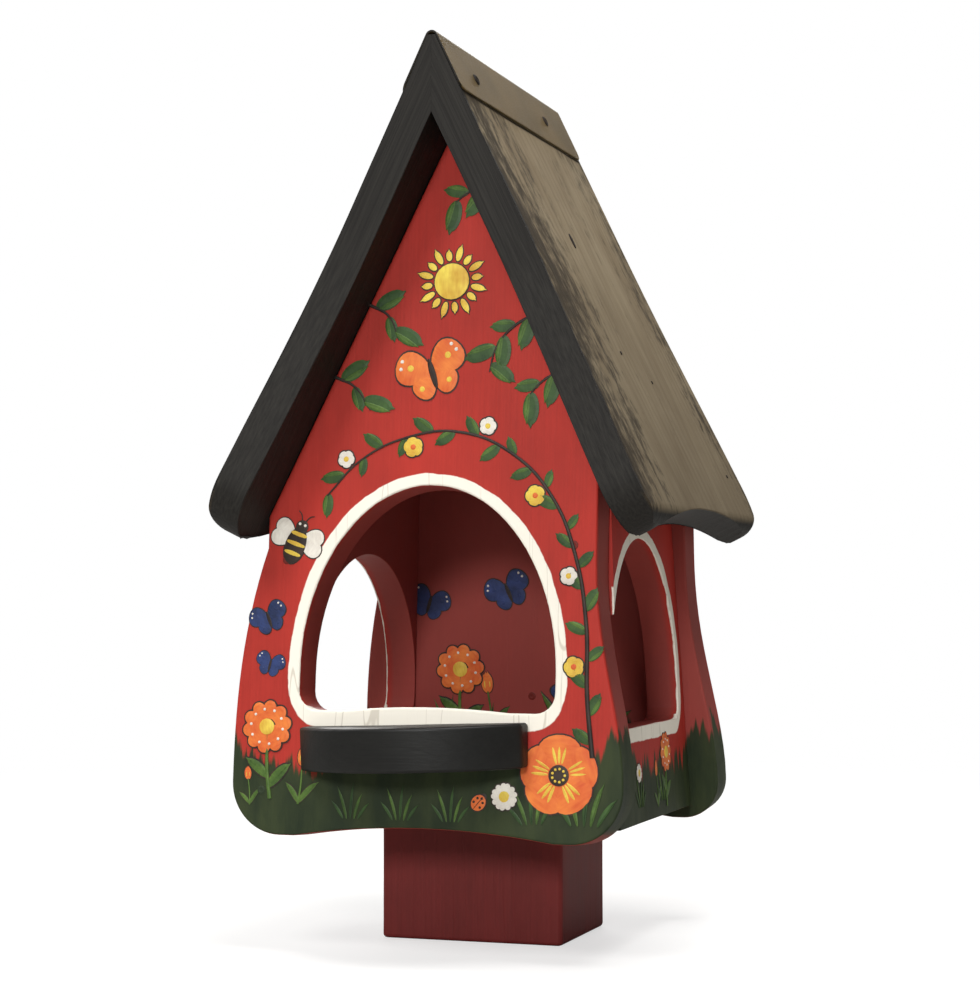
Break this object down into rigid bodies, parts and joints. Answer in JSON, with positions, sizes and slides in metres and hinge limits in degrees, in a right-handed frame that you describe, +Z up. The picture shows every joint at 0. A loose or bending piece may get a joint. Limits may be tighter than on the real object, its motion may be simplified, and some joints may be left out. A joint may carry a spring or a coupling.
{
  "type": "bird feeder house",
  "caption": "Small wooden bird feeder shaped like a flared cottage: steep roof, arched openings in front and sides, a ledge, on a post stub.",
  "frame": {"origin": "middle of the post's foot, on the face it stands on", "axes": "+Z up, front of the house towards -Y, ridge of the roof along Y"},
  "size_m": [0.2074, 0.2239, 0.4142],
  "materials": {
    "wall_paint": "brushed red paint on planed softwood with a ragged green band at the foot and white lines round the openings",
    "floor_paint": "dark red paint on softwood",
    "roof_stain": "weathered grey-brown stain, near black on the ends and undersides",
    "cap_strip": "smooth brown strip",
    "ledge_stain": "near black stain, half gloss",
    "post_paint": "dark red paint on a planed post"
  },
  "bodies": {
    "root": {"front_wall": "wall_paint", "back_wall": "wall_paint", "left_wall": "wall_paint", "right_wall": "wall_paint", "floor_board": "floor_paint", "roof_left": "roof_stain", "roof_right": "roof_stain", "ridge_cap": "cap_strip", "feeding_ledge": "ledge_stain", "post_stub": "post_paint"}
  },
  "joints": []
}
